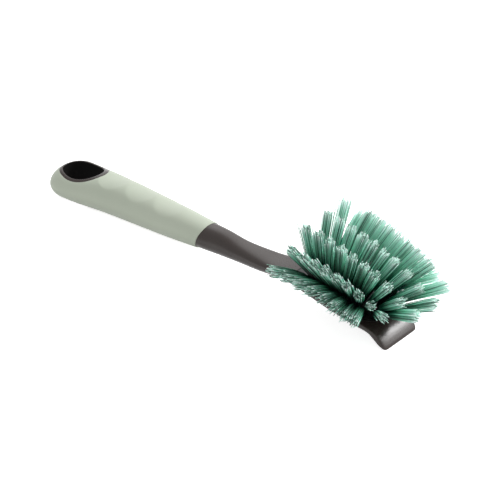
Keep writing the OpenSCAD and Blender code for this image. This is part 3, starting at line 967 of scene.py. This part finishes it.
class DISHBRUSH_OT_tufts(bpy.types.Operator):
    """Make the tufts of nylon filaments, each in the place of its solid stand-in"""

    bl_idname = "dish_brush.tufts"
    bl_label = "Tufts"

    SIDES = 5
    # Shares of a filament's length at which it has a ring; the last short step is its cut tip
    STEPS = (0.0, 0.08, 0.2, 0.36, 0.54, 0.72, 0.88, 0.985, 1.0)
    # Points of a stand-in this near its lowest are its plug, and this near its farthest are its tips
    PLUG_ZONE = 0.1 * MM
    TIP_ZONE = 6 * MM
    # Turn from one filament to the next that spaces them evenly over a circle
    GOLDEN_TURN = math.pi * (3 - math.sqrt(5))
    # Shares of the spread that filaments have at their knee and above it, and where above it is
    KNEE_SPREAD = 0.2
    MID_SPREAD = 0.7
    MID_PLACE = 0.3
    # Turn of a wave along a filament, of its plane, and the range of its start
    WAVE_TURN = 9
    PLANE_TURN = 3
    PHASE_RANGE = 6.28
    # Share of the filaments that stray, and how far out these and the others stand
    STRAY_SHARE = 0.012
    STRAY_REACH = (1.4, 2.0)
    REACH = (0.85, 1.1)
    # Least wave of a filament, as a share of the most
    LEAST_WAVE = 0.3
    # How far inside the brush's box the middle of a tip stays, in radii of a filament
    TIP_MARGIN = 1.5

    def axis(self, node):
        """Where a tuft stands on the block and where the middle of its tips is."""
        normal = Vector((math.sin(HEAD_PITCH), 0, math.cos(HEAD_PITCH)))
        points = [v.co.copy() for v in node.data.vertices]
        lowest = min(p.dot(normal) for p in points)
        plug = [p for p in points if p.dot(normal) < lowest + self.PLUG_ZONE]
        root = sum(plug, Vector()) / len(plug) + normal * TUFT_DEPTH * MM
        longest = max((p - root).length for p in points)
        tips = [p for p in points if (p - root).length > longest - self.TIP_ZONE]
        return root, normal, sum(tips, Vector()) / len(tips)

    def route(self, foot, knee, tip, root_off, tip_off, wave, phase):
        """Points along one filament: straight out of its hole, over its knee and on to its tip."""
        way = tip - knee
        controls = (
            foot + root_off,
            knee + root_off.lerp(tip_off, self.KNEE_SPREAD),
            knee + way * self.MID_PLACE + root_off.lerp(tip_off, self.MID_SPREAD),
            tip + tip_off,
        )
        side = way.normalized().orthogonal().normalized()
        side = Matrix.Rotation(phase * self.PLANE_TURN, 3, way) @ side
        points = []
        for t in self.STEPS:
            s = 1 - t
            p = (controls[0] * s ** 3 + controls[1] * 3 * s * s * t
                 + controls[2] * 3 * s * t * t + controls[3] * t ** 3)
            points.append(p + side * wave * t * math.sin(phase + t * self.WAVE_TURN))
        return points

    def inside(self, root, tip, margin):
        """The tip, drawn back along its way until it lies in the brush's own box."""
        low, high = CAD_BOX
        share = 1.0
        for k in range(3):
            way = tip[k] - root[k]
            if way > 0:
                share = min(share, (high[k] - margin - root[k]) / way)
            elif way < 0:
                share = min(share, (low[k] + margin - root[k]) / way)
        return root + (tip - root) * share

    def tube(self, route, radius, points, faces):
        """Adds a closed tube along a route to a list of points and a list of faces."""
        first = len(points)
        last = len(route) - 1
        for j, p in enumerate(route):
            ahead = (route[min(j + 1, last)] - route[max(j - 1, 0)]).normalized()
            side = ahead.orthogonal().normalized()
            up = ahead.cross(side)
            for i in range(self.SIDES):
                a = 2 * math.pi * i / self.SIDES
                points.append(p + (side * math.cos(a) + up * math.sin(a)) * radius)
        for j in range(last):
            for i in range(self.SIDES):
                a = first + j * self.SIDES + i
                b = first + j * self.SIDES + (i + 1) % self.SIDES
                faces.append((a, b, b + self.SIDES, a + self.SIDES))
        faces.append(tuple(first + i for i in reversed(range(self.SIDES))))
        faces.append(tuple(first + last * self.SIDES + i for i in range(self.SIDES)))

    def tuft(self, name, settings):
        """Mesh of one tuft, with each point's place along its filament and its filament's tone."""
        luck = random.Random(name)
        row = ROWS[name[len(TUFT)]]
        radius = settings.thickness / 2
        spread_r = settings.spread_r * row.spread * SPLAYED.get(name, 1.0)
        root, normal, tip = self.axis(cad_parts[name])
        tip += Vector(BENT.get(name, (0, 0, 0))) * MM
        foot = root - normal * FOOT_DEPTH * MM
        knee = root + normal * row.knee * MM
        way = (tip - root).normalized()
        bend = normal.rotation_difference(way)
        across = Vector((math.cos(HEAD_PITCH), 0, -math.sin(HEAD_PITCH)))
        start = luck.uniform(0, 2 * math.pi)
        points = []
        faces = []
        along = []
        tone = []
        for k in range(settings.count):
            share = math.sqrt((k + 0.5) / settings.count)
            out = Matrix.Rotation(start + k * self.GOLDEN_TURN, 3, normal) @ across
            reach = luck.uniform(*(self.STRAY_REACH if luck.random() < self.STRAY_SHARE else self.REACH))
            jostle = Vector((luck.gauss(0, 1), luck.gauss(0, 1), 0)) * settings.jostle * row.wear
            tip_off = bend @ (out * share * spread_r * reach + jostle)
            end = tip + way * luck.gauss(0, settings.uneven * row.wear)
            end = self.inside(root, end + tip_off, radius * self.TIP_MARGIN) - tip_off
            wave = luck.uniform(self.LEAST_WAVE, 1) * settings.wave
            phase = luck.uniform(0, self.PHASE_RANGE)
            # A random tone for each filament, whose least value is raised on the far rows as painted
            # light from behind
            shade = luck.uniform(row.pale, 1)
            route = self.route(foot, knee, end, out * share * settings.root_r, tip_off, wave, phase)
            self.tube(route, radius, points, faces)
            along += [step for step in self.STEPS for _ in range(self.SIDES)]
            tone += [shade] * len(self.STEPS) * self.SIDES
        mesh = bpy.data.meshes.new(name + "_filaments")
        mesh.from_pydata(points, [], faces)
        mesh.attributes.new("along", "FLOAT", "POINT").data.foreach_set("value", along)
        mesh.attributes.new("tone", "FLOAT", "POINT").data.foreach_set("value", tone)
        return mesh

    def execute(self, context):
        settings = context.scene.dish_bristles
        material = filament_finish(settings)
        for name in sorted(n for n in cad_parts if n.startswith(TUFT)):
            mesh = self.tuft(name, settings)
            as_piece(add_object(mesh.name, mesh), material, BRISTLE_HEAD, "bristle", name)
        return {"FINISHED"}


def softbox(name, lamp, power):
    """A broad white light that faces a point."""
    light = bpy.data.lights.new(name, "AREA")
    light.shape = "RECTANGLE"
    light.size = lamp.width
    light.size_y = lamp.height
    light.energy = power
    made = add_object(name, light)
    made.location = lamp.place
    made.rotation_euler = (Vector(lamp.aim) - Vector(lamp.place)).to_track_quat("-Z", "Y").to_euler()


def seen_white(tree):
    """1 where a thing is seen, directly, in a gloss or through something clear, and 0 where it lights."""
    path = add_node(tree, "ShaderNodeLightPath")
    value = path.outputs["Is Camera Ray"]
    for label in ("Is Glossy Ray", "Is Transmission Ray"):
        either = add_node(tree, "ShaderNodeMath", operation="MAXIMUM")
        tree.links.new(value, either.inputs[0])
        tree.links.new(path.outputs[label], either.inputs[1])
        value = either.outputs["Value"]
    return value


def floor_finish(glow_share):
    """A white sheet that takes a soft shadow and shows as white where it is lit."""
    material, tree, shader = new_material("white_sheet")
    shader.inputs["Base Color"].default_value = (0.8, 0.8, 0.8, 1)
    shader.inputs["Roughness"].default_value = 0.9
    glow = add_node(tree, "ShaderNodeEmission")
    both = add_node(tree, "ShaderNodeAddShader")
    share = add_node(tree, "ShaderNodeMath", operation="MULTIPLY")
    share.inputs[1].default_value = glow_share
    link = tree.links.new
    link(seen_white(tree), share.inputs[0])
    link(share.outputs["Value"], glow.inputs["Strength"])
    link(shader.outputs["BSDF"], both.inputs[0])
    link(glow.outputs["Emission"], both.inputs[1])
    link(both.outputs["Shader"], tree.nodes["Material Output"].inputs["Surface"])
    return material


class DISHBRUSH_OT_studio(bpy.types.Operator):
    """Make the white floor, the lights and the camera"""

    bl_idname = "dish_brush.studio"
    bl_label = "Studio"

    def floor(self, settings):
        """A wide sheet a hair below the brush."""
        signs = ((-1, -1), (1, -1), (1, 1), (-1, 1))
        corners = [(x * FLOOR_HALF, y * FLOOR_HALF, -FLOOR_DROP) for x, y in signs]
        mesh = bpy.data.meshes.new("floor")
        mesh.from_pydata(corners, [], [(0, 1, 2, 3)])
        floor = add_object("floor", mesh)
        floor.data.materials.append(floor_finish(settings.floor_glow))

    def surroundings(self, settings):
        """A white world that is dimmer as a light than to the eye."""
        world = bpy.data.worlds.new("surroundings")
        world.use_nodes = True
        tree = world.node_tree
        background = tree.nodes["Background"]
        background.inputs["Color"].default_value = (1, 1, 1, 1)
        strength = add_node(tree, "ShaderNodeMix", data_type="FLOAT")
        strength.inputs["A"].default_value = settings.ambient
        strength.inputs["B"].default_value = 1.0
        tree.links.new(seen_white(tree), strength.inputs["Factor"])
        tree.links.new(strength.outputs["Result"], background.inputs["Strength"])
        return world

    def camera(self, settings):
        """The camera, at its turn, height angle and distance from what it aims at."""
        a = settings.azimuth
        e = settings.elevation
        back = Vector((math.sin(a) * math.cos(e), -math.cos(a) * math.cos(e), math.sin(e)))
        lens = bpy.data.cameras.new("camera")
        lens.lens = settings.lens
        lens.sensor_width = 36.0
        lens.clip_start = 0.01
        camera = add_object("camera", lens)
        camera.location = Vector(AIM) + back * settings.distance
        camera.rotation_euler = (-back).to_track_quat("-Z", "Y").to_euler()
        return camera

    def execute(self, context):
        scene = context.scene
        settings = scene.dish_studio
        self.floor(settings)
        scene.world = self.surroundings(settings)
        for name, lamp in LAMPS.items():
            softbox(name, lamp, getattr(settings, lamp.power))
        scene.camera = self.camera(settings)
        scene.view_settings.view_transform = "Standard"
        return {"FINISHED"}


OPERATORS = (
    DISHBRUSH_OT_soft_grip,
    DISHBRUSH_OT_hard_core,
    DISHBRUSH_OT_block,
    DISHBRUSH_OT_tufts,
    DISHBRUSH_OT_studio,
)
SETTINGS = {
    "dish_grip": GripSettings,
    "dish_core": CoreSettings,
    "dish_bristles": BristleSettings,
    "dish_studio": StudioSettings,
}


class DISHBRUSH_PT_panel(bpy.types.Panel):
    """The brush's pieces and their settings"""

    bl_idname = "DISHBRUSH_PT_panel"
    bl_label = "Dish Brush"
    bl_space_type = "VIEW_3D"
    bl_region_type = "UI"
    bl_category = "Dish Brush"

    def draw(self, context):
        layout = self.layout
        for operator in OPERATORS:
            layout.operator(operator.bl_idname)
        for name, group in SETTINGS.items():
            box = layout.box()
            box.label(text=group.__doc__)
            for key in group.__annotations__:
                box.prop(getattr(context.scene, name), key)


def register():
    for group in SETTINGS.values():
        bpy.utils.register_class(group)
    for name, group in SETTINGS.items():
        setattr(bpy.types.Scene, name, PointerProperty(type=group))
    for operator in OPERATORS:
        bpy.utils.register_class(operator)
    bpy.utils.register_class(DISHBRUSH_PT_panel)


def unregister():
    bpy.utils.unregister_class(DISHBRUSH_PT_panel)
    for operator in reversed(OPERATORS):
        bpy.utils.unregister_class(operator)
    for name in SETTINGS:
        delattr(bpy.types.Scene, name)
    for group in reversed(SETTINGS.values()):
        bpy.utils.unregister_class(group)


def main():
    register()
    bpy.ops.dish_brush.soft_grip()
    bpy.ops.dish_brush.hard_core()
    bpy.ops.dish_brush.block()
    bpy.ops.dish_brush.tufts()
    bpy.ops.dish_brush.studio()
    bpy.context.view_layer.update()


if __name__ == "__main__":
    main()
